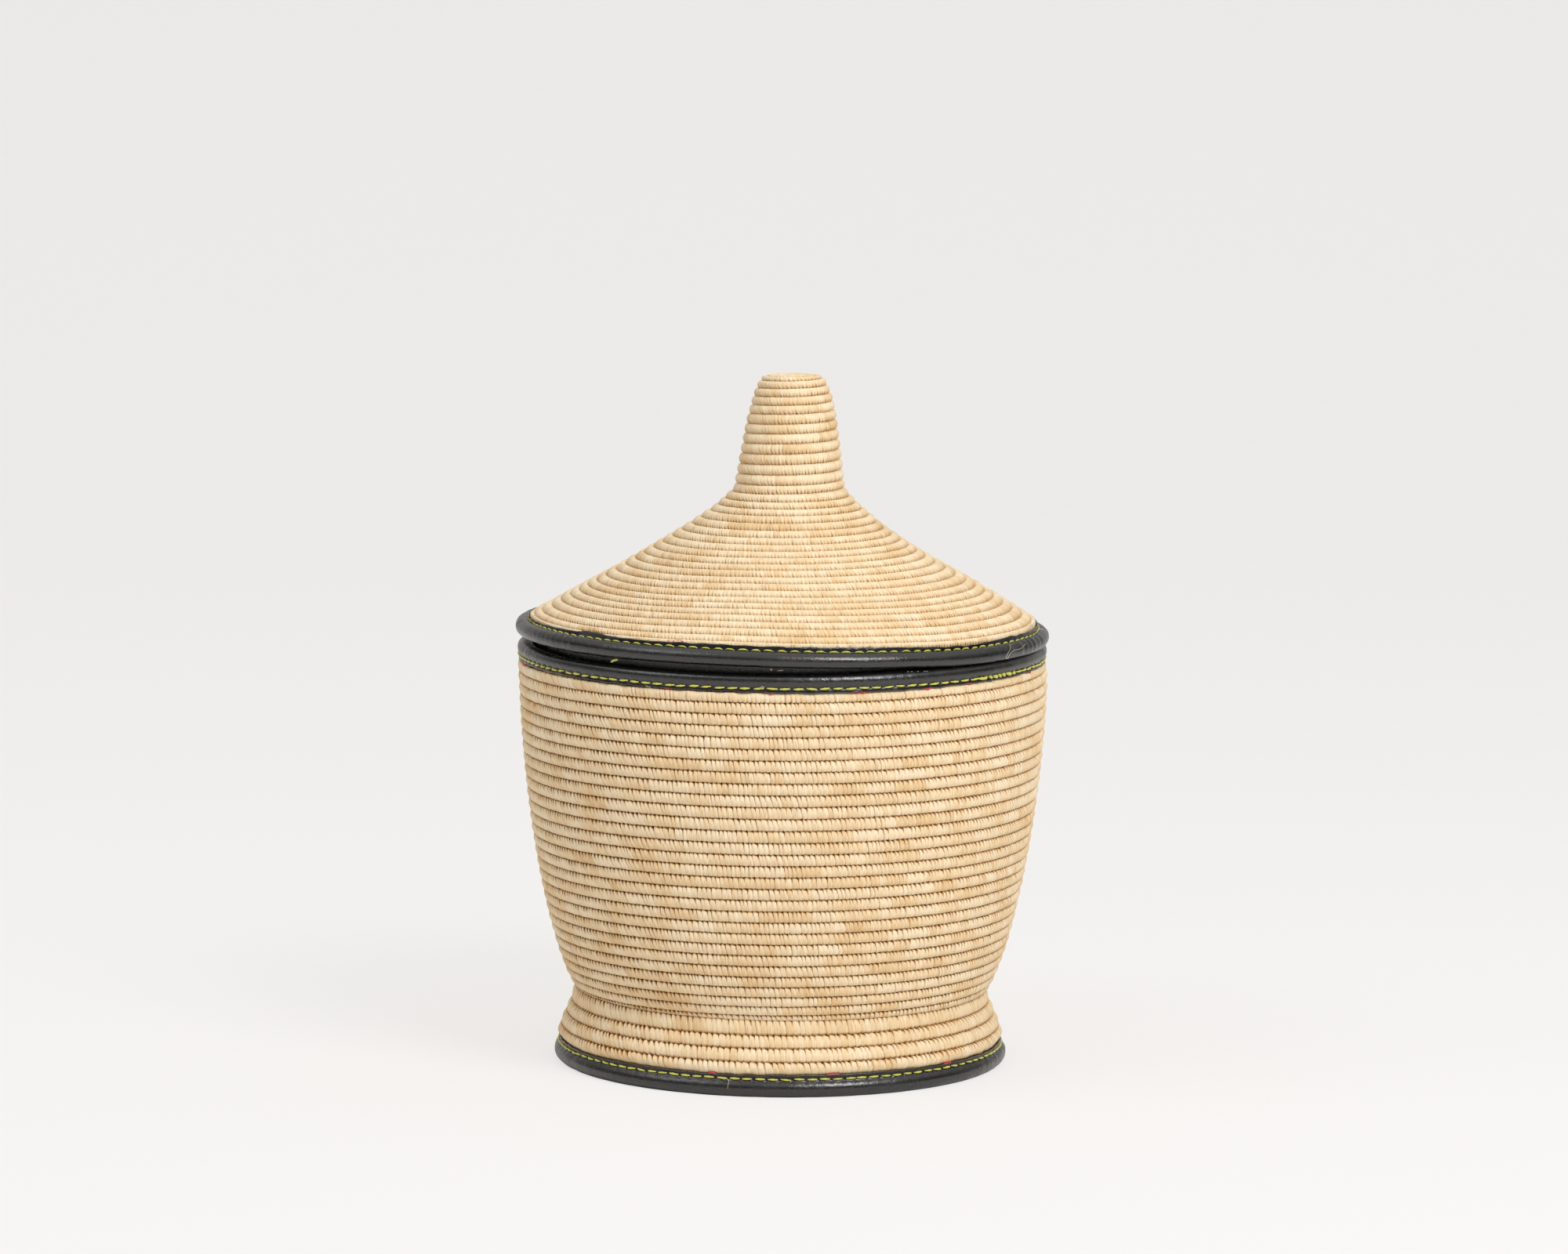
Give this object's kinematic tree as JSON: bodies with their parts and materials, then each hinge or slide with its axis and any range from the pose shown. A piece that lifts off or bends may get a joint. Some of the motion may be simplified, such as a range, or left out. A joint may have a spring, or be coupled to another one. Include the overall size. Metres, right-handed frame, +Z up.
{
  "type": "lidded basket",
  "caption": "Round coiled raffia basket on a flared foot ring, with a conical lid that lifts off by its tall hollow knob and stitched leather binding on each edge.",
  "frame": {"origin": "centre of the foot's resting plane, on the axis of the basket", "axes": "+Z up along the axis of the basket and the lid; X and Y are free, as the shape is round"},
  "size_m": [0.277, 0.277, 0.36],
  "materials": {
    "raffia": "satin",
    "dark_leather": "satin",
    "straw": "matte",
    "red_cloth": "matte",
    "yellow_thread": "satin"
  },
  "bodies": {
    "basket": {"basket_coil": "raffia", "foot_coil": "raffia", "foot_core": "straw", "foot_binding": "dark_leather", "foot_tape": "red_cloth", "foot_thread": "yellow_thread", "rim_core": "straw", "rim_binding": "dark_leather", "rim_tape": "red_cloth", "rim_thread": "yellow_thread"},
    "lid": {"lid_coil": "raffia", "lid_core": "straw", "lid_binding": "dark_leather", "lid_tape": "red_cloth", "lid_thread": "yellow_thread", "lid_collar": "raffia", "collar_facing": "dark_leather"}
  },
  "joints": [
    {"name": "lid_lift", "type": "slide", "parent": "basket", "child": "lid", "axis": [0, 0, 1], "range_m": [0, 0.15]}
  ]
}
